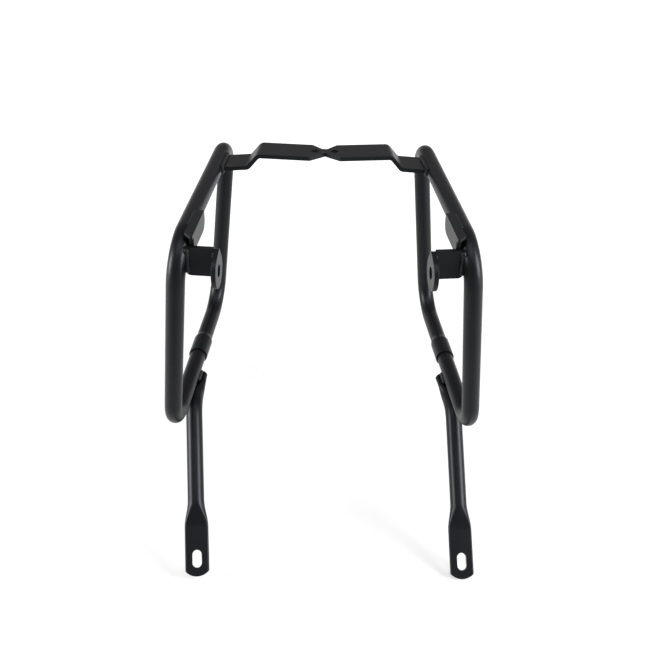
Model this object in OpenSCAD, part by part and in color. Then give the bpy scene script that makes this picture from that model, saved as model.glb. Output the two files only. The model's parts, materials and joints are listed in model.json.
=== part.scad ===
// Pair of pannier frames for the tail of a motorbike.
// Each side is one hoop of bent tube that closes on itself in a slip joint, with an arm to the
// tail, a bracket with an ear for the shock absorber's bolt, a tab beside the top run and a strut
// with a slotted foot.
// The origin is midway between the two tail bolts, on the top face of the arms.
// +X is the rider's left, +Y points to the back of the bike and +Z is up. Units are millimetres.

/* [Tube] */
// Outside diameter of the frame tube
tube_od = 16; // [12:0.5:20]
// Wall of the frame tube
tube_wall = 1.5; // [1:0.1:2.5]
// Radius of each tube bend, measured at the centreline
bend_r = 32; // [26:1:42]

/* [Hoop] */
// Length of the top run between its corner points
top_run = 231; // [200:1:300]
// Length of the front leg between its corner points
front_leg = 202; // [160:1:260]
// Length of the rear leg between its corner points
rear_leg = 194.5; // [155:0.5:250]
// Angle by which the front leg leans back
front_lean = 4.7; // [0:0.1:10]
// Angle by which the rear leg leans back
rear_lean = 1.8; // [0:0.1:8]
// Angle by which the hoop turns in toward the tail at the back
toe_in = 5.5; // [0:0.1:9]
// Angle by which the foot of the hoop stands outward
splay = 6; // [0:0.1:10]

/* [Slip joint] */
// Distance of the mouth of the socket from the lower front corner
mouth_at = 114; // [100:1:125]
// Length of the full-width part of the socket
socket_len = 26; // [18:1:32]
// Length of the flare between the tube and the socket
flare_len = 6; // [4:0.5:9]
// Clearance on the diameter between the socket and the plain end in it
slip_fit = 0.3; // [0.2:0.05:0.6]

/* [Tail arm] */
// Distance between the two tail bolts
tail_bolt_spacing = 18.5; // [17:0.5:26]
// Diameter of each tail bolt hole
tail_bolt_d = 7; // [5.5:0.1:8.5]
// Distance from the top run's centreline to the bolt hole
arm_span = 95; // [85:0.5:120]
// Distance of the arm from the front corner, along the top run
arm_at = 174.5; // [150:0.5:190]
// Width of the arm
arm_w = 30; // [24:1:36]
// Thickness of the arm
arm_t = 4; // [3:0.5:6]
// Height of the arm's top face above the top run's centreline
arm_rise = 17.7; // [15:0.1:24]
// Rise of the step in the arm
step_h = 12.2; // [9:0.1:15]
// Length of the step in the arm
step_run = 10; // [8:0.5:14]
// Distance of the step from the top run's centreline
step_at = 32.4; // [26:0.1:40]
// Inside radius of the bends at the step
step_bend_r = 3; // [1.5:0.5:4]
// Width of the arm's tip
tip_w = 12.5; // [10:0.5:16]
// Length over which the arm narrows to its tip
tip_taper = 13; // [8:0.5:18]

/* [Shock bracket] */
// Height of the bracket plate
bracket_h = 26; // [20:0.5:32]
// Thickness of the bracket plate and of the ear
bracket_t = 4; // [3:0.5:6]
// Distance of the plate behind the front corner
bracket_back = 10.8; // [8:0.1:16]
// Drop of the plate's top edge below the top run's centreline
bracket_drop = 2.5; // [0:0.5:8]
// Distance of the ear's inner face from the top run's centreline
ear_reach = 33; // [28:0.5:44]
// Radius of the ear's round lobe
ear_r = 15; // [12:0.5:18]
// Radius of the ear's narrow top
ear_top_r = 4; // [3:0.5:6]
// Diameter of the ear's bolt hole
ear_hole_d = 10.5; // [8:0.5:13]
// Distance of the ear's hole behind the front corner
ear_back = 6.1; // [3:0.1:10]
// Drop of the ear's hole below the top run's centreline
ear_drop = 21; // [16:0.5:28]
// Radius of the bracket plate's lower outer corner
bracket_corner_r = 5; // [2:0.5:8]

/* [Rail tab] */
// Distance of the tab's far end behind the front corner
tab_far = 57; // [48:1:75]
// Width of the tab's top flange, from its inner face
tab_flange_w = 8; // [6.5:0.5:9]
// Thickness of the tab
tab_t = 4; // [3:0.5:5]
// Radius of the tab's lower far corner
tab_corner_r = 9; // [3:0.5:12]

/* [Strut] */
// Distance of the strut's top end from the lower front corner
strut_top_at = 97; // [90:1:105]
// Length of the strut's upper stretch, along the low run
strut_top_len = 43; // [38:1:50]
// Turn of the strut's seat from straight below the low run, toward the tail
strut_under = 22; // [10:1:35]
// Outward turn of the left strut on its seat
left_strut_turn = 3; // [-8:0.5:8]
// Outward turn of the right strut on its seat
right_strut_turn = -5; // [-8:0.5:8]
// Slope of the strut below the level
strut_drop = 45; // [35:1:55]
// Length of the strut below its bend
strut_len = 167; // [130:1:210]
// Thickness of the strut's flattened top end
top_flat_t = 6; // [4.5:0.5:9]
// Length of the flattened top end
top_flat_len = 14; // [10:1:18]
// Thickness of the strut's flattened foot
foot_t = 4; // [3.5:0.1:6]
// Length of the flattened foot
foot_len = 46; // [34:1:60]
// Length over which the strut flattens into its foot
foot_taper = 26; // [18:1:36]
// Radius of the round cut at both ends of the strut
end_r = 15; // [13:0.5:24]
// Width of the slot in the foot
slot_w = 9; // [7:0.5:10.5]
// Length of the slot in the foot
slot_len = 16.5; // [12:0.5:22]
// Distance of the middle of the slot from the end of the foot
slot_at = 16.5; // [14:0.5:24]

/* [Welds] */
// Leg of the beads on the arm, the bracket and the strut
weld_leg = 2.6; // [1.5:0.1:3.5]
// Leg of the beads between the ear and its bracket
ear_weld_leg = 1.8; // [1.2:0.1:2.5]
// Leg of the bead along the tab's flange
tab_weld_leg = 1.6; // [1.2:0.1:2.2]
// Gap between the strut's flattened top and the low run, which its weld fills
strut_seat = 0.05; // [0.05:0.05:0.3]

/* [Hidden] */
$fn = 64;

powder_black = [0.16, 0.16, 0.17];
weld_black = [0.22, 0.22, 0.23];
through = 1;

tube_r = tube_od / 2;
tube_in_r = tube_r - tube_wall;
socket_in_r = tube_r + slip_fit / 2;
// The socket is swaged from the tube, so its section keeps the tube's area.
socket_r = sqrt(pow(socket_in_r, 2) + pow(tube_r, 2) - pow(tube_in_r, 2));

// Corner points of the hoop in its own plane: distance back along the top run, and height.
front_top = [0, 0];
rear_top = [top_run, 0];
front_low = front_leg * [sin(front_lean), -cos(front_lean)];
rear_low = rear_top + rear_leg * [sin(rear_lean), -cos(rear_lean)];
low_run = rear_low - front_low;
low_run_len = norm(low_run);
low_run_angle = atan2(low_run[1], low_run[0]);
plain_end_at = mouth_at + socket_len - 1;

// The arm's hole lies on its tail bolt, which places the hoop.
outward = [cos(toe_in), sin(toe_in), 0];
backward = [-sin(toe_in), cos(toe_in), 0];
tail_bolt = [tail_bolt_spacing / 2, 0, 0];
hoop_origin = tail_bolt + arm_span * outward - arm_at * backward - [0, 0, arm_rise];
tip_len = tail_bolt_spacing / 2 / cos(toe_in);

bracket_top = -bracket_drop;
bracket_front = bracket_back - bracket_t / 2;
ear_outer = -ear_reach + bracket_t;
ear_hole = [ear_back, -ear_drop];
// The ear's top stands a little below the plate's top edge.
ear_step = 1;
ear_top = [bracket_back, bracket_top - ear_top_r - ear_step];

tab_in = -tube_r - tab_t;
tab_near = bracket_back + bracket_t / 2;
// The top flange stands proud of the tube's shoulder, so that it has metal on it.
tab_top = tube_r;
tab_lip = tab_t - 1;

// How a flattened tube keeps its girth: half the flat's width for a half thickness r.
function flat_half(r) = PI / 2 * (tube_r - r);
foot_w = 2 * (flat_half(foot_t / 2) + foot_t / 2);
top_flat_w = 2 * (flat_half(top_flat_t / 2) + top_flat_t / 2);

function unit(v) = v / norm(v);
function angle_of(v) = atan2(v[1], v[0]);
function left_of(v) = [-v[1], v[0]];
function turn_at(a, b, c) = acos(unit(b - a) * unit(c - b));
function tangent_len(turn) = bend_r * tan(turn / 2);

// A vector given as along the top run, up the hoop's plane and out of it, in the part's frame.
function hoop_vector(v) =
    let (x = v[2] * cos(splay) - v[1] * sin(splay), z = v[2] * sin(splay) + v[1] * cos(splay))
    x * outward + v[0] * backward + [0, 0, z];

// Frame of the hoop: across it, along the top run and up, with the hoop standing upright.
module at_rail() {
    translate(hoop_origin) rotate([0, 0, toe_in]) children();
}

// Plane of the hoop: along the top run, up and outward, with the hoop's splay.
module at_hoop() {
    at_rail() rotate([0, -splay, 0]) rotate([90, 0, 90]) children();
}

// On the low run, at a distance from its front corner: x along it, -y toward the strut.
module at_low_run(distance) {
    at_hoop() translate([front_low[0], front_low[1], 0]) rotate([0, 0, low_run_angle])
        translate([distance, 0, 0]) rotate([strut_under, 0, 0]) children();
}

// The tube starts at its plain end in the slip joint and runs forward, up, back and down.
// Each stretch and bend is drawn in the frame of the one before.
turns = [
    turn_at(rear_low, front_low, front_top), turn_at(front_low, front_top, rear_top),
    turn_at(front_top, rear_top, rear_low), turn_at(rear_top, rear_low, front_low)
];
tangents = [for (turn = turns) tangent_len(turn)];
stretches = [
    plain_end_at - tangents[0],
    front_leg - tangents[0] - tangents[1],
    top_run - tangents[1] - tangents[2],
    rear_leg - tangents[2] - tangents[3]
];
last_stretch = low_run_len - tangents[3] - mouth_at - socket_len - flare_len;

// The tube draws in a hair round a bend, and a stretch laps a little way into it.
bend_draw = 0.02;
lap = 0.3;

module straight_tube(length, r, bore) {
    difference() {
        cylinder(h = length, r = r);
        if (bore > 0) translate([0, 0, -through]) cylinder(h = length + 2 * through, r = bore);
    }
}

// A bend that starts at the origin along +Z and turns toward +X.
module tube_bend(turn, r, bore) {
    translate([bend_r, 0, 0]) rotate([90, 0, 180]) rotate_extrude(angle = turn)
        translate([bend_r, 0]) difference() {
            circle(r = r - bend_draw);
            if (bore > 0) circle(r = bore + bend_draw);
        }
}

module past_bend(turn) {
    translate([bend_r, 0, 0]) rotate([0, turn, 0]) translate([-bend_r, 0, 0]) children();
}

// The stretches from first to last and the bends between them. Children go past the last bend.
module bent_tube(r, bore, first, last, i = 0) {
    if (i == len(stretches)) children();
    else {
        drawn = i >= first && i <= last;
        before = i > first ? lap : 0;
        after = i < last ? lap : 0;
        if (drawn) translate([0, 0, -before])
            straight_tube(stretches[i] + before + after, r, bore);
        translate([0, 0, stretches[i]]) {
            if (drawn && i < last) tube_bend(turns[i], r, bore);
            past_bend(turns[i]) bent_tube(r, bore, first, last, i + 1) children();
        }
    }
}

module at_plain_end() {
    at_hoop() translate([front_low[0], front_low[1], 0]) rotate([0, 0, low_run_angle])
        translate([plain_end_at, 0, 0]) rotate([-90, 0, 0]) rotate([0, -90, 0]) children();
}

// The last stretch, with its end swaged out to a flare and a socket, is one revolved wall.
module socket_stretch() {
    flare_end = last_stretch + flare_len;
    mouth = flare_end + socket_len;
    rotate_extrude() polygon([
        [tube_in_r, -lap], [tube_r, -lap], [tube_r, last_stretch], [socket_r, flare_end],
        [socket_r, mouth], [socket_in_r, mouth], [socket_in_r, flare_end],
        [tube_in_r, last_stretch]
    ]);
}

module hoop_tube() {
    color(powder_black) at_plain_end()
        bent_tube(tube_r, tube_in_r, 0, len(stretches)) socket_stretch();
}

// The space that the front leg and the top run fill, for the pieces that fit round them.
module hoop_front_space() {
    at_plain_end() bent_tube(tube_r, 0, 1, 2);
}

// Centreline of the arm's thickness, seen along the top run: distance inward, and height.
arm_path = [
    [0, 0],
    [step_at, arm_rise - step_h - arm_t / 2],
    [step_at + step_run, arm_rise - arm_t / 2],
    [arm_span + 2 * tip_len, arm_rise - arm_t / 2]
];

// Outline of one face of a bent strip: an arc at each inner point of the path.
step_arc = 6;
function strip_side(path, offset) = [
    for (i = [0:len(path) - 1])
        let (
            last = len(path) - 1,
            d1 = unit(path[max(i, 1)] - path[max(i, 1) - 1]),
            d2 = unit(path[min(i, last - 1) + 1] - path[min(i, last - 1)]),
            bend = i == 0 || i == last ? 0 : angle_of(d2) - angle_of(d1),
            mid_r = step_bend_r + arm_t / 2,
            centre = path[i] - mid_r * tan(abs(bend) / 2) * d1 + sign(bend) * mid_r * left_of(d1),
            r = mid_r - sign(bend) * offset
        )
        if (bend == 0) path[i] + offset * left_of(d1)
        else for (k = [0:step_arc])
            let (a = angle_of(d1) + bend * k / step_arc)
            centre - sign(bend) * r * [-sin(a), cos(a)]
];

function reversed(list) = [for (i = [len(list) - 1:-1:0]) list[i]];

// Plan of the arm, from above: full width, then a taper to a narrow tip with cut corners.
module arm_plan() {
    tip = arm_span + tip_len;
    cut = tip_w / 4;
    polygon([
        [0, -arm_w / 2], [tip - tip_taper, -arm_w / 2],
        [tip - cut, -tip_w / 2], [tip, -tip_w / 2 + cut],
        [tip + tip_len, -tip_w / 2 + cut], [tip + tip_len, tip_w / 2],
        [tip - cut, tip_w / 2], [tip - tip_taper, arm_w / 2], [0, arm_w / 2]
    ]);
}

module at_arm() {
    at_rail() translate([0, arm_at, 0]) mirror([1, 0, 0]) children();
}

module arm_strip() {
    outline = concat(strip_side(arm_path, -arm_t / 2), reversed(strip_side(arm_path, arm_t / 2)));
    rotate([90, 0, 0]) linear_extrude(height = arm_w, center = true) polygon(outline);
}

module tail_arm() {
    color(powder_black) difference() {
        at_arm() intersection() {
            arm_strip();
            translate([0, 0, -arm_rise]) linear_extrude(height = 3 * arm_rise) arm_plan();
        }
        hoop_front_space();
        translate(tail_bolt - [0, 0, arm_t + through])
            cylinder(h = arm_t + 2 * through, d = tail_bolt_d);
        // The two tips meet on the middle plane of the bike.
        translate([-2 * arm_w, -arm_w, -2 * arm_w]) cube([2 * arm_w, 2 * arm_w, 3 * arm_w]);
    }
}

// The bracket plate stands across the bike, so it is drawn as seen from the front. Its lower
// outer corner is round, and tucked a little behind the inner edge of the leaning leg.
corner_tuck = 0.8;
module bracket_outline() {
    leg_edge = tan(splay) * (bracket_drop + bracket_h) - tube_r;
    difference() {
        translate([ear_outer, bracket_top - bracket_h]) square([-ear_outer, bracket_h]);
        translate([leg_edge + corner_tuck - bracket_corner_r, bracket_top - bracket_h])
            difference() {
                square([2 * tube_r, bracket_corner_r]);
                translate([0, bracket_corner_r]) circle(r = bracket_corner_r);
            }
    }
}

module shock_bracket() {
    color(powder_black) difference() {
        at_rail() translate([0, bracket_front + bracket_t, 0]) rotate([90, 0, 0])
            linear_extrude(height = bracket_t) bracket_outline();
        hoop_front_space();
        at_rail() translate([-tube_r / 2, 0, -2 * ear_drop])
            cube([2 * tube_r, 2 * bracket_back, 3 * ear_drop]);
    }
}

// Two circles and the band between their outer tangents.
module teardrop(low, low_r, top, top_r) {
    axis = top - low;
    lean = acos((low_r - top_r) / norm(axis));
    side_a = angle_of(axis) - lean;
    side_b = angle_of(axis) + lean;
    translate(low) circle(r = low_r);
    translate(top) circle(r = top_r);
    polygon([
        low + low_r * [cos(side_a), sin(side_a)], top + top_r * [cos(side_a), sin(side_a)],
        top + top_r * [cos(side_b), sin(side_b)], low + low_r * [cos(side_b), sin(side_b)]
    ]);
}

module shock_ear() {
    color(powder_black) at_rail() translate([-ear_reach, 0, 0]) rotate([90, 0, 90])
        linear_extrude(height = bracket_t) difference() {
            teardrop(ear_hole, ear_r, ear_top, ear_top_r);
            translate(ear_hole) circle(d = ear_hole_d);
        }
}

// Side view of the tab's upright flange, with its round lower far corner.
module tab_outline() {
    difference() {
        translate([tab_near, -tube_r]) square([tab_far - tab_near, tube_od]);
        translate([tab_far - tab_corner_r, -tube_r]) difference() {
            square(tab_corner_r);
            translate([0, tab_corner_r]) circle(r = tab_corner_r);
        }
    }
}

// The tab is an angle: one flange hangs beside the top run and one lies on its shoulder.
module rail_tab() {
    notch = tab_flange_w / 4;
    color(powder_black) difference() {
        at_rail() {
            translate([tab_in, 0, 0]) rotate([90, 0, 90]) linear_extrude(height = tab_t) tab_outline();
            translate([0, 0, tab_top - tab_lip]) linear_extrude(height = tab_lip) polygon([
                [tab_in, bracket_front], [tab_in + notch, bracket_front],
                [tab_in + tab_flange_w, tab_near + notch], [tab_in + tab_flange_w, tab_far],
                [tab_in, tab_far]
            ]);
        }
        hoop_front_space();
    }
}

// The strut's directions and places, in the part's frame.
strut_down = [0, -cos(strut_drop), -sin(strut_drop)];
strut_seat_r = tube_od + strut_seat;
low_dir = hoop_vector([cos(low_run_angle), sin(low_run_angle), 0]);
low_up = hoop_vector([-sin(low_run_angle), cos(low_run_angle), 0]);
low_out = hoop_vector([0, 0, 1]);
seat_up = cos(strut_under) * low_up + sin(strut_under) * low_out;
seat_across = -sin(strut_under) * low_up + cos(strut_under) * low_out;
low_corner = hoop_origin + hoop_vector([front_low[0], front_low[1], 0]);
strut_corner = low_corner + (strut_top_at - strut_top_len) * low_dir - strut_seat_r * seat_up;
strut_turn = acos(-low_dir * strut_down);
strut_tangent = tangent_len(strut_turn);
// Across the strut below its bend, level and square to the strut.
foot_across = [1, 0, 0];
foot_up = cross(strut_down, foot_across);
foot_end = strut_corner + strut_len * strut_down;

function ease(t) = (1 - cos(180 * t)) / 2;
function mix(a, b, t) = a + (b - a) * t;

// One ring of a flattened tube whose half thickness is r, a wall's depth inside its skin: a
// stadium, round where r is the tube's.
ring_n = 24;
turnover = ring_n / 4;
function ring(centre, across, up, r, depth) = [
    for (k = [0:ring_n - 1])
        let (
            c = cos(360 * k / ring_n),
            s = sin(360 * k / ring_n),
            side = max(-1, min(1, turnover * c))
        )
        centre + ((r - depth) * c + flat_half(r) * side) * across + (r - depth) * s * up
];

top_steps = 5;
bend_steps = 6;
foot_steps = 7;
// The walls are pressed together from this step of the taper on.
hollow_steps = 5;
top_taper = strut_top_len - strut_tangent - top_flat_len;

// Rings along the low run: the flat's upper face keeps its seat while the tube rounds out.
function top_ring(distance, r, depth) = ring(
    strut_corner + (strut_top_len - distance) * low_dir + (tube_r - r) * seat_up,
    seat_across, seat_up, r, depth
);

// The bend turns from the low run's direction to the strut's, about the middle of its arc.
bend_from = strut_corner + strut_tangent * low_dir;
bend_in = unit(strut_down - (strut_down * -low_dir) * -low_dir);
function bend_point(a) = bend_from + bend_r * (sin(a) * -low_dir + (1 - cos(a)) * bend_in);
function bend_tangent(a) = cos(a) * -low_dir + sin(a) * bend_in;
function bend_ring(t, depth) =
    let (
        tangent = bend_tangent(strut_turn * t),
        raw = mix(seat_across, foot_across, t),
        across = unit(raw - (raw * tangent) * tangent)
    )
    ring(bend_point(strut_turn * t), across, cross(tangent, across), tube_r, depth);

foot_flat_from = strut_len - foot_len;
function foot_ring(distance, r, depth) =
    ring(strut_corner + distance * strut_down, foot_across, foot_up, r, depth);

// Rings from the top end down, as far as the given step of the foot's taper.
function strut_rings(depth, steps) = concat(
    [top_ring(0, top_flat_t / 2, depth)],
    [for (k = [0:top_steps])
        top_ring(top_flat_len + top_taper * k / top_steps,
                 mix(top_flat_t / 2, tube_r, ease(k / top_steps)), depth)],
    [for (k = [1:bend_steps]) bend_ring(k / bend_steps, depth)],
    [for (k = [0:steps])
        foot_ring(foot_flat_from - foot_taper * (1 - k / foot_steps),
                  mix(tube_r, foot_t / 2, ease(k / foot_steps)), depth)]
);

// A surface through a row of rings, closed at both ends. Rings that run one way inside and
// back outside make a wall round a hollow.
module skin(rings) {
    last = len(rings) - 1;
    faces = concat(
        [[for (k = [0:ring_n - 1]) k]],
        [for (j = [0:last - 1], k = [0:ring_n - 1])
            let (a = j * ring_n + k, b = j * ring_n + (k + 1) % ring_n)
            [b, a, a + ring_n]],
        [for (j = [0:last - 1], k = [0:ring_n - 1])
            let (a = j * ring_n + k, b = j * ring_n + (k + 1) % ring_n)
            [b, a + ring_n, b + ring_n]],
        [[for (k = [ring_n - 1:-1:0]) last * ring_n + k]]
    );
    polyhedron(points = [for (r = rings) each r], faces = faces);
}

// The foot's own frame: x across it, -y up the strut from its end, z through its thickness.
module at_foot() {
    translate(foot_end) rotate([180 + strut_drop, 0, 0]) children();
}

// Takes the corners off a flattened end, past a round cut of radius end_r.
module round_end_cut(width, thickness) {
    translate([-width, -end_r, -thickness]) difference() {
        cube([2 * width, 2 * end_r, 2 * thickness]);
        translate([width, 0, -through]) cylinder(h = 2 * thickness + 2 * through, r = end_r);
        translate([0, -end_r, -through])
            cube([2 * width, end_r, 2 * thickness + 2 * through]);
    }
}

// Turns a strut outward about the middle of its seat, in the plane of its flattened top.
module turned_on_seat(turn) {
    seat = low_corner + (strut_top_at - top_flat_len / 2) * low_dir;
    translate(seat) rotate(a = turn, v = seat_up) translate(-seat) children();
}

module strut(turn) {
    outside = concat(strut_rings(0, foot_steps), [foot_ring(strut_len, foot_t / 2, 0)]);
    inside = reversed(strut_rings(tube_wall, hollow_steps));
    color(powder_black) turned_on_seat(turn) difference() {
        skin(concat(inside, outside));
        at_foot() round_end_cut(foot_w, foot_t);
        at_low_run(strut_top_at) translate([0, -strut_seat_r + tube_r, 0])
            rotate([90, 0, 0]) rotate([0, 0, -90]) round_end_cut(top_flat_w, 2 * top_flat_t);
        at_foot() translate([0, -slot_at, -foot_t]) foot_slot();
    }
}

module foot_slot() {
    pitch = slot_len - slot_w;
    for (side = [-1, 1]) translate([0, side * pitch / 2, 0]) cylinder(h = 2 * foot_t, d = slot_w);
    translate([-slot_w / 2, -pitch / 2, 0]) cube([slot_w, pitch, 2 * foot_t]);
}

// A bead with round ends along +Y, for a weld in a corner.
module bead_y(length, r) {
    rotate([-90, 0, 0]) cylinder(h = length, r = r);
    for (y = [0, length]) translate([0, y, 0]) sphere(r = r);
}

// How far a bead's middle lies under the surface that it runs along.
weld_sink = 0.3;
// How far a bead stops short of the edge of the flat that it joins.
weld_stop = 3;

module arm_weld() {
    root = tube_r - weld_sink;
    lift = arm_path[1][1] / arm_path[1][0] * root;
    color(weld_black) difference() {
        at_arm() translate([root, 0, lift]) {
            for (side = [-1, 1]) translate([0, -arm_w / 2, side * arm_t / 2])
                bead_y(arm_w, weld_leg);
            for (side = [-1, 1]) translate([0, side * arm_w / 2, -arm_t / 2])
                cylinder(h = arm_t, r = weld_leg);
        }
        hoop_front_space();
        at_arm() arm_strip();
    }
}

module bracket_weld() {
    // The leg of the hoop leans out beside the upright plate, so the bead is set at its middle.
    lean_out = tan(splay) * (bracket_drop + bracket_h / 2);
    length = bracket_h - weld_stop - bracket_corner_r;
    color(weld_black) difference() {
        at_rail() for (side = [-1, 1])
            translate([lean_out - tube_r + weld_sink, bracket_back + side * bracket_t / 2,
                       bracket_top - weld_stop])
                rotate([-90, 0, 0]) bead_y(length, weld_leg);
        hoop_front_space();
        at_rail() translate([-ear_reach, bracket_front, -2 * bracket_h])
            cube([ear_reach, bracket_t, 3 * bracket_h]);
    }
}

module ear_weld() {
    stop = ear_top_r + ear_step;
    color(weld_black) difference() {
        at_rail() for (side = [-1, 1])
            translate([ear_outer, bracket_back + side * bracket_t / 2, bracket_top - stop])
                rotate([-90, 0, 0]) bead_y(bracket_h - 2 * stop, ear_weld_leg);
        at_rail() translate([ear_outer, bracket_front, -2 * bracket_h])
            cube([ear_reach, bracket_t, 3 * bracket_h]);
        at_rail() translate([-ear_reach, -bracket_h, -2 * bracket_h])
            cube([bracket_t, 2 * bracket_h, 3 * bracket_h]);
    }
}

module tab_weld() {
    edge = tab_in + tab_flange_w;
    // Height of the tube's skin where the flange's edge meets it.
    seat = sqrt(pow(tube_r, 2) - pow(edge, 2));
    color(weld_black) difference() {
        at_rail() translate([edge, bend_r, seat])
            bead_y(tab_far - bend_r - weld_stop, tab_weld_leg);
        hoop_front_space();
        at_rail() translate([tab_in, 0, tab_top - tab_lip]) cube([tab_flange_w, tab_far, tab_lip]);
    }
}

module strut_weld() {
    // Each bead lies in the corner between the flat and the tube, three quarters of the way out.
    across = tube_r * 3 / 4;
    depth = sqrt(pow(tube_r, 2) - pow(across, 2)) + weld_sink;
    color(weld_black) difference() {
        at_low_run(strut_top_at) for (side = [-1, 1])
            translate([-top_flat_len - weld_stop, -depth, side * across])
                rotate([0, 0, -90]) bead_y(top_flat_len - weld_stop, weld_leg);
        at_low_run(strut_top_at - 2 * top_flat_len)
            rotate([0, 90, 0]) cylinder(h = 3 * top_flat_len, r = tube_r);
        at_low_run(strut_top_at - 2 * top_flat_len)
            translate([0, -tube_od - tube_r - strut_seat, -tube_od])
            cube([3 * top_flat_len, tube_od, 2 * tube_od]);
    }
}

// The right frame is the left one mirrored, apart from the turn of its strut.
module right() {
    mirror([1, 0, 0]) children();
}

hoop_tube();  // left_hoop_tube
tail_arm();  // left_tail_arm
shock_bracket();  // left_shock_bracket
shock_ear();  // left_shock_ear
rail_tab();  // left_rail_tab
strut(left_strut_turn);  // left_strut
arm_weld();  // left_arm_weld
bracket_weld();  // left_bracket_weld
ear_weld();  // left_ear_weld
tab_weld();  // left_tab_weld
strut_weld();  // left_strut_weld
right() hoop_tube();  // right_hoop_tube
right() tail_arm();  // right_tail_arm
right() shock_bracket();  // right_shock_bracket
right() shock_ear();  // right_shock_ear
right() rail_tab();  // right_rail_tab
right() strut(right_strut_turn);  // right_strut
right() arm_weld();  // right_arm_weld
right() bracket_weld();  // right_bracket_weld
right() ear_weld();  // right_ear_weld
right() tab_weld();  // right_tab_weld
right() strut_weld();  // right_strut_weld
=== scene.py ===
"""The looks of a pair of pannier frames: satin black powder coat over bent tube, flat bar and weld.

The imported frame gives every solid. The hoops keep their solids and take a coat. The bars, plates and
struts get eased edges, as ground steel has before it is coated. The weld beads keep their exact form,
and their coat has the ripples.
"""

import json
import math

import bpy
from mathutils import Matrix, Vector


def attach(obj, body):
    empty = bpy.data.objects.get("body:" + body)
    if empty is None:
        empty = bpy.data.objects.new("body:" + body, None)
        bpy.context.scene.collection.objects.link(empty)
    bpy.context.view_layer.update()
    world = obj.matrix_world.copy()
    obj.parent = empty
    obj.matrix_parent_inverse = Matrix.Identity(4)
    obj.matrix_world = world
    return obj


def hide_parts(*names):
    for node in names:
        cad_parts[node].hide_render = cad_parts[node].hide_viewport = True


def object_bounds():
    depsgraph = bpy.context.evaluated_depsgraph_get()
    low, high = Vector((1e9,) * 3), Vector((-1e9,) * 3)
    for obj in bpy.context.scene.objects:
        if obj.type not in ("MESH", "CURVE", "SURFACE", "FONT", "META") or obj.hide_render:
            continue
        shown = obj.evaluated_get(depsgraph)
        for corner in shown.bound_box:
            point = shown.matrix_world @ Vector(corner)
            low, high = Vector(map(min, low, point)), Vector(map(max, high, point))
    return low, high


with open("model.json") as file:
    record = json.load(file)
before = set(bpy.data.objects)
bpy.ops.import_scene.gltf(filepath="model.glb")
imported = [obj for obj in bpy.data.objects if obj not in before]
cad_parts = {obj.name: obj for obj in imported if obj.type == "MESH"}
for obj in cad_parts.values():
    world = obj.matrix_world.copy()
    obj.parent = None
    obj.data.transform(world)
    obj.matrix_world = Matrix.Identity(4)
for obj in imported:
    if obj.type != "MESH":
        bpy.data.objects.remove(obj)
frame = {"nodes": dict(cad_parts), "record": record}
solid_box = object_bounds()

MM = 0.001
SIDES = ("left", "right")


# Camera, as the photograph was taken

PHOTO_SIZE = 650
FOCAL_PIXELS = 929.8
SENSOR_WIDTH = 36
CAMERA_PLACE = Vector((-8.91, -826.09, 343.43)) * MM
CAMERA_DOWN = math.radians(33.160)
CAMERA_TURN = math.radians(-0.846)
CAMERA_ROLL = math.radians(1.112)
NEAREST_SEEN = 10 * MM


def set_up_camera():
    bpy.ops.object.camera_add(location=CAMERA_PLACE)
    camera = bpy.context.active_object
    camera.name = "photo_camera"
    camera.data.sensor_width = SENSOR_WIDTH
    camera.data.lens = FOCAL_PIXELS * SENSOR_WIDTH / PHOTO_SIZE
    camera.data.clip_start = NEAREST_SEEN
    tilt = Matrix.Rotation(math.radians(90) - CAMERA_DOWN, 4, "X")
    turn = Matrix.Rotation(CAMERA_TURN, 4, "Z")
    roll = Matrix.Rotation(CAMERA_ROLL, 4, "Z")
    camera.matrix_world = Matrix.Translation(CAMERA_PLACE) @ turn @ tilt @ roll
    bpy.context.scene.camera = camera


# Shader maths

class Wire:
    """One output of a shader node, so that maths on it is written as plain arithmetic."""

    def __init__(self, finish, socket):
        self.finish = finish
        self.socket = socket

    def maths(self, operation, first, second=0.0):
        return self.finish.node("ShaderNodeMath", {"operation": operation}, {0: first, 1: second})

    def __add__(self, other):
        return self.maths("ADD", self, other)

    def __radd__(self, other):
        return self.maths("ADD", other, self)

    def __rsub__(self, other):
        return self.maths("SUBTRACT", other, self)

    def __mul__(self, other):
        return self.maths("MULTIPLY", self, other)

    def __rmul__(self, other):
        return self.maths("MULTIPLY", other, self)

    def __abs__(self):
        return self.maths("ABSOLUTE", self)

    def sine(self):
        return self.maths("SINE", self)


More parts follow.
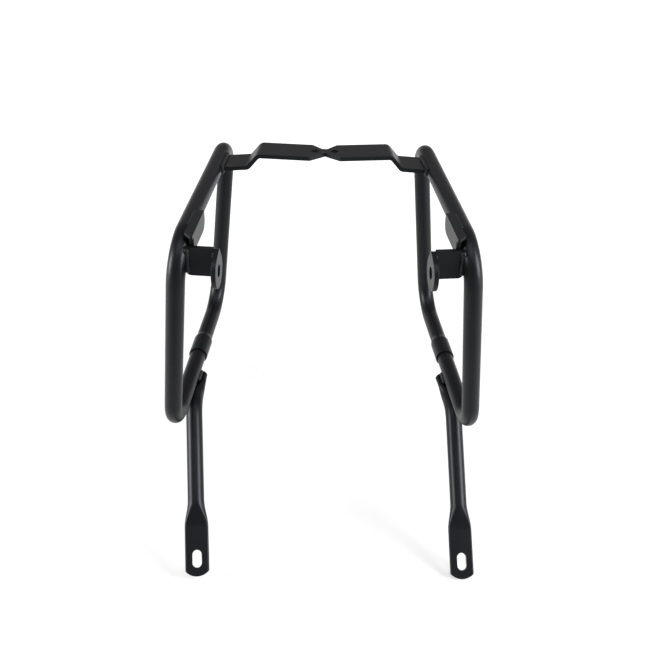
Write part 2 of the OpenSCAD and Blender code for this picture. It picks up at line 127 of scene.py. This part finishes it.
class Finish:
    """The nodes of a material or a world that is being mixed. One method adds any node to them."""

    def __init__(self, owner):
        self.owner = owner
        owner.use_nodes = True
        self.tree = owner.node_tree
        self.tree.nodes.clear()

    def node(self, kind, settings=None, inputs=None, output=0):
        """Adds a node: its settings first, then the values or links of its sockets."""
        new = self.tree.nodes.new(kind)
        for name, value in (settings or {}).items():
            setattr(new, name, value)
        for name, value in (inputs or {}).items():
            if isinstance(value, Wire):
                self.tree.links.new(value.socket, new.inputs[name])
            else:
                new.inputs[name].default_value = value
        return Wire(self, new.outputs[output]) if new.outputs else None

    def place(self):
        return self.node("ShaderNodeTexCoord", output="Object")

    def along(self, place, axis):
        return self.node("ShaderNodeSeparateXYZ", None, {0: place}, axis)

    def grain(self, place, size, detail=2.0):
        """Noise from 0 to 1 whose lumps are about size metres across."""
        inputs = {"Vector": place, "Scale": 1 / size, "Detail": detail}
        return self.node("ShaderNodeTexNoise", {"noise_dimensions": "3D"}, inputs, "Fac")

    def pebbles(self, place, size, softness):
        """Rounded lumps about size metres across, high in the middle of each."""
        settings = {"feature": "SMOOTH_F1"}
        inputs = {"Vector": place, "Scale": 1 / size, "Smoothness": softness}
        return 1.0 - self.node("ShaderNodeTexVoronoi", settings, inputs, "Distance")

    def between(self, share, tones):
        """A colour between two others."""
        settings = {"data_type": "RGBA", "clamp_factor": True}
        low, high = tones
        return self.node("ShaderNodeMix", settings, {0: share, 6: (*low, 1), 7: (*high, 1)}, 2)

    def bump(self, height, depth):
        return self.node("ShaderNodeBump", None, {"Height": height, "Distance": depth}, "Normal")

    def show(self, shader, kind="ShaderNodeOutputMaterial"):
        """Makes a shader the one that is seen, and gives back the material or world."""
        self.node(kind, None, {"Surface": shader})
        return self.owner

    def surface(self, inputs):
        return self.show(self.node("ShaderNodeBsdfPrincipled", None, inputs))


def new_finish(name):
    return Finish(bpy.data.materials.new(name))


# Finishes

COAT_SHINE = 0.23
COAT_SHEEN_TINT = (0.86, 0.92, 1.0, 1)
COAT_ROUGHNESS = 0.31
COAT_ROUGHNESS_RISE = 0.07
TUBE_TONES = ((0.0008, 0.0008, 0.0013), (0.0050, 0.0050, 0.0064))
PLATE_TONES = ((0.0008, 0.0008, 0.0012), (0.0050, 0.0050, 0.0060))
TOOTH = 0.8 * MM
TOOTH_HEIGHT = 0.45
TOOTH_TONE_SHARE = 0.65
PEBBLE = 1.1 * MM
PEBBLE_SOFTNESS = 0.7
PEBBLE_DEPTH = 0.032 * MM
DRIFT = 28 * MM

WELD_TONES = ((0.0045, 0.0045, 0.0052), (0.009, 0.009, 0.010))
WELD_ROUGHNESS = 0.30
WELD_ROUGHNESS_RISE = 0.1
WELD_TOOTH = 0.5 * MM
WELD_TOOTH_HEIGHT = 0.12
RIPPLE_PITCH = 1.7 * MM
RIPPLE_DEPTH = 0.22 * MM
# Painted shade: this share of the weld's colour goes darker in the ripples' troughs and lighter on their
# crests
RIPPLE_SHADE_SHARE = 0.6
# The ripples wander by up to this many radians, where one ripple is pi
RIPPLE_SWAY = 1.4
RIPPLE_SWAY_SIZE = 3 * MM

STEEL_TONES = ((0.22, 0.215, 0.205), (0.38, 0.37, 0.355))
STEEL_ROUGHNESS = 0.38
STEEL_ROUGHNESS_RISE = 0.2
SCRATCH = 0.3 * MM
SCRATCH_DRAW = (1, 1, 6)
SCRATCH_DEPTH = 0.02 * MM


def powder_coat(name, tones):
    """Satin powder coat: a pebbled skin with a fine tooth on it, and a slow drift in its depth."""
    coat = new_finish(name)
    place = coat.place()
    tooth = coat.grain(place, TOOTH)
    drift = coat.grain(place, DRIFT, detail=3.0)
    height = coat.pebbles(place, PEBBLE, PEBBLE_SOFTNESS) + TOOTH_HEIGHT * tooth
    shade = (1 - TOOTH_TONE_SHARE) * drift + TOOTH_TONE_SHARE * tooth
    return coat.surface({
        "Base Color": coat.between(shade, tones),
        "Roughness": COAT_ROUGHNESS + COAT_ROUGHNESS_RISE * (tooth + drift),
        "Specular IOR Level": COAT_SHINE,
        "Specular Tint": COAT_SHEEN_TINT,
        "Normal": coat.bump(height, PEBBLE_DEPTH),
    })


def weld_coat(name, run):
    """Coat over a weld bead: the ripples of its passes across its run, no two quite alike. Its colour is
    darker in the troughs of the ripples and lighter on their crests: painted shade and painted light.
    """
    bead = new_finish(name)
    place = bead.place()
    sway = bead.grain(place, RIPPLE_SWAY_SIZE, detail=1.0)
    passes = bead.along(place, run) * (math.pi / RIPPLE_PITCH) + RIPPLE_SWAY * sway
    ripple = abs(passes.sine())
    tooth = bead.grain(place, WELD_TOOTH)
    # Painted shade and light: the colour follows the ripples' height, darker in the troughs, lighter on
    # the crests
    shade = RIPPLE_SHADE_SHARE * ripple + (1 - RIPPLE_SHADE_SHARE) * tooth
    return bead.surface({
        "Base Color": bead.between(shade, WELD_TONES),
        "Roughness": WELD_ROUGHNESS + WELD_ROUGHNESS_RISE * tooth,
        "Specular IOR Level": COAT_SHINE,
        "Specular Tint": COAT_SHEEN_TINT,
        "Normal": bead.bump(ripple + WELD_TOOTH_HEIGHT * tooth, RIPPLE_DEPTH),
    })


def bare_steel(name):
    """The wall of a slot that was cleared after coating: dull bare steel with fine drawn scratches."""
    steel = new_finish(name)
    drawn_out = steel.node("ShaderNodeMapping", None, {"Vector": steel.place(), "Scale": SCRATCH_DRAW})
    drawn = steel.grain(drawn_out, SCRATCH, detail=3.0)
    return steel.surface({
        "Base Color": steel.between(drawn, STEEL_TONES),
        "Metallic": 1.0,
        "Roughness": STEEL_ROUGHNESS + STEEL_ROUGHNESS_RISE * drawn,
        "Normal": steel.bump(drawn, SCRATCH_DEPTH),
    })


# Making pieces

MERGE_WITHIN = 0.002 * MM
FLAT_WITHIN = math.radians(0.4)
EDGE_STEPS = 3


def pick_only(thing):
    bpy.ops.object.select_all(action="DESELECT")
    thing.select_set(True)
    bpy.context.view_layer.objects.active = thing


def copy_of(node):
    """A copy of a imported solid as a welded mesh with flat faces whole, ready to be worked on."""
    source = frame["nodes"][node]
    piece = bpy.data.objects.new(f"{node}_coated", source.data.copy())
    bpy.context.scene.collection.objects.link(piece)
    pick_only(piece)
    bpy.ops.mesh.customdata_custom_splitnormals_clear()
    bpy.ops.object.mode_set(mode="EDIT")
    bpy.ops.mesh.select_all(action="SELECT")
    bpy.ops.mesh.remove_doubles(threshold=MERGE_WITHIN)
    bpy.ops.mesh.dissolve_limited(angle_limit=FLAT_WITHIN)
    bpy.ops.object.mode_set(mode="OBJECT")
    return piece


def ease_edges(piece, width, sharp_above):
    """Rounds every sharp edge a little, as the coat does over a cut edge."""
    pick_only(piece)
    bpy.ops.object.modifier_add(type="BEVEL")
    bevel = piece.modifiers[-1]
    bevel.width = width
    bevel.segments = EDGE_STEPS
    bevel.limit_method = "ANGLE"
    bevel.angle_limit = sharp_above
    bevel.use_clamp_overlap = True
    bpy.ops.object.modifier_apply(modifier=bevel.name)
    bpy.ops.object.shade_smooth_by_angle(angle=sharp_above)
    bpy.ops.object.modifier_add(type="WEIGHTED_NORMAL")
    piece.modifiers[-1].keep_sharp = True
    bpy.ops.object.modifier_apply(modifier=piece.modifiers[-1].name)


def settle(piece, node, slot, *finishes):
    """Gives a made piece its finishes, and puts it in the place of its solid."""
    piece.data.materials.clear()
    for finish in finishes:
        piece.data.materials.append(finish)
    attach(piece, "root")
    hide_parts(node)


# Hoops, plates, struts and welds

PLATE_EDGES = {
    "tail_arm": 0.4 * MM,
    "shock_bracket": 0.4 * MM,
    "shock_ear": 0.4 * MM,
    "rail_tab": 0.25 * MM,
}
PLATE_SHARP = math.radians(35)
STRUT_EDGE = 0.25 * MM
STRUT_SHARP = math.radians(38)
SLOT_REACH = 9.5 * MM
SLOT_WALL_LEAN = 0.3
BEAD_SHARP = math.radians(40)
BEAD_RUNS = {
    "arm_weld": "Y",
    "bracket_weld": "Z",
    "ear_weld": "Z",
    "tab_weld": "Y",
    "strut_weld": "Y",
}


def coated_hoop(side):
    hoop = frame["nodes"][f"{side}_hoop_tube"]
    hoop.data.materials.clear()
    hoop.data.materials.append(tube_coat)


def coated_plate(side, part, edge):
    node = f"{side}_{part}"
    piece = copy_of(node)
    ease_edges(piece, edge, PLATE_SHARP)
    settle(piece, node, "plate_coat", plate_coat)


def slot_walls(piece, mount):
    """The faces of a strut that are the wall of its slot, by their place and the way they face."""
    middle = Vector(mount["pos_m"])
    through = Vector(mount["axis"])
    return [
        face for face in piece.data.polygons
        if (face.center - middle).length < SLOT_REACH
        and abs(face.normal.dot(through)) < SLOT_WALL_LEAN
    ]


def coated_strut(side):
    node = f"{side}_strut"
    piece = copy_of(node)
    ease_edges(piece, STRUT_EDGE, STRUT_SHARP)
    settle(piece, node, "tube_coat", tube_coat, slot_steel)
    mount = next(m for m in frame["record"]["mounts"] if m["name"] == f"{side}_foot_slot")
    steel = piece.data.materials.find(slot_steel.name)
    for face in slot_walls(piece, mount):
        face.material_index = steel


def coated_bead(side, part, run):
    """A weld bead in its exact form, so that its thin toes still meet the steel on both sides."""
    node = f"{side}_{part}"
    piece = copy_of(node)
    bpy.ops.object.shade_smooth_by_angle(angle=BEAD_SHARP)
    settle(piece, node, "weld_coat", weld_coats[run])


# Floor, lights and sky

FLOOR_GAP = 0.3 * MM
FLOOR_SIZE = 40
SHEET_TONE = (0.46, 0.46, 0.46, 1)
# Painted light: the floor glows where these lifts reach, shown only to the camera, gloss and glass, in
# place of lamp light. The strip in front that is left without a lift is mirrored dark by the tubes, a
# painted reflection
PAINTED_FLOOR_GLOWS = (
    # axis, where each lift begins, where it is full, how much it adds
    ("Y", -0.50, -0.295, 0.52),
    ("Y", 0.10, 0.90, 0.40),
    ("Y", -0.80, -1.60, 0.48),
    ("X", 0.55, 1.10, 0.42),
)
SKY_LEVEL = 0.25
SKY_SHOWN = 0.15
SOFT_BOXES = (
    # name, place, width, height, power
    ("left_box", (-1.60, -0.35, 0.20), 0.48, 0.75, 29),
    ("right_box", (1.42, -0.66, 0.42), 0.62, 1.05, 37),
    ("top_box", (0.0, -0.75, 1.35), 1.4, 0.9, 9),
)


def rays_that_show(finish):
    """1 for the rays that show a thing to the camera, straight or by gloss or glass, else 0."""
    camera = finish.node("ShaderNodeLightPath", output="Is Camera Ray")
    gloss = Wire(finish, camera.socket.node.outputs["Is Glossy Ray"])
    glass = Wire(finish, camera.socket.node.outputs["Is Transmission Ray"])
    return camera + gloss + glass


def pale_floor(name):
    """One pale sheet, which keeps its shadows.

    It is lifted to white in the picture by a painted glow, which also keeps it pale out of the lamps'
    reach.
    Just in front of the picture a strip has no lift, and the tubes, which mirror that strip, stay dark in
    their middles:
    a painted reflection.
    """
    sheet = new_finish(name)
    place = sheet.place()
    from_middle = {"X": abs(sheet.along(place, "X")), "Y": sheet.along(place, "Y")}
    smooth = {"interpolation_type": "SMOOTHSTEP"}
    glow = 0.0
    for axis, begins, ends, amount in PAINTED_FLOOR_GLOWS:
        ramp = {"Value": from_middle[axis], 1: begins, 2: ends, 3: 0.0, 4: amount}
        glow = glow + sheet.node("ShaderNodeMapRange", smooth, ramp)
    glow_tone = sheet.node("ShaderNodeCombineColor", None, {0: glow, 1: glow, 2: glow})
    # Painted light: a glow that is no lamp, shown only to the camera, gloss and glass
    lift = sheet.node("ShaderNodeEmission", None, {"Color": glow_tone, "Strength": rays_that_show(sheet)})
    paper = sheet.node("ShaderNodeBsdfDiffuse", None, {"Color": SHEET_TONE})
    return sheet.show(sheet.node("ShaderNodeAddShader", None, {0: paper, 1: lift}))


def lay_floor():
    lowest = solid_box[0].z - FLOOR_GAP
    bpy.ops.object.select_all(action="DESELECT")
    bpy.ops.mesh.primitive_plane_add(size=FLOOR_SIZE, location=(0, 0, lowest))
    floor = bpy.context.active_object
    floor.name = "floor"
    floor.data.materials.append(pale_floor("floor_white"))


def hang_lights():
    aim = (solid_box[0] + solid_box[1]) / 2
    for name, place, width, height, power in SOFT_BOXES:
        bpy.ops.object.light_add(type="AREA", location=place)
        lamp = bpy.context.active_object
        lamp.name = name
        lamp.data.shape = "RECTANGLE"
        lamp.data.size = width
        lamp.data.size_y = height
        lamp.data.energy = power
        lamp.rotation_mode = "QUATERNION"
        lamp.rotation_quaternion = (aim - Vector(place)).to_track_quat("-Z", "Y")


def fill_sky():
    """An even, weak light from all round, shown paler than it shines."""
    sky = Finish(bpy.data.worlds.new("studio"))
    strength = SKY_LEVEL + SKY_SHOWN * rays_that_show(sky)
    white = sky.node("ShaderNodeBackground", None, {"Color": (1, 1, 1, 1), "Strength": strength})
    bpy.context.scene.world = sky.show(white, "ShaderNodeOutputWorld")


bpy.context.scene.view_settings.view_transform = "Standard"
set_up_camera()
tube_coat = powder_coat("tube_powder_coat", TUBE_TONES)
plate_coat = powder_coat("plate_powder_coat", PLATE_TONES)
weld_coats = {run: weld_coat(f"weld_coat_along_{run.lower()}", run) for run in ("Y", "Z")}
slot_steel = bare_steel("slot_steel")

for side in SIDES:
    coated_hoop(side)
    coated_strut(side)
    for part, edge in PLATE_EDGES.items():
        coated_plate(side, part, edge)
    for part, run in BEAD_RUNS.items():
        coated_bead(side, part, run)

lay_floor()
hang_lights()
fill_sky()
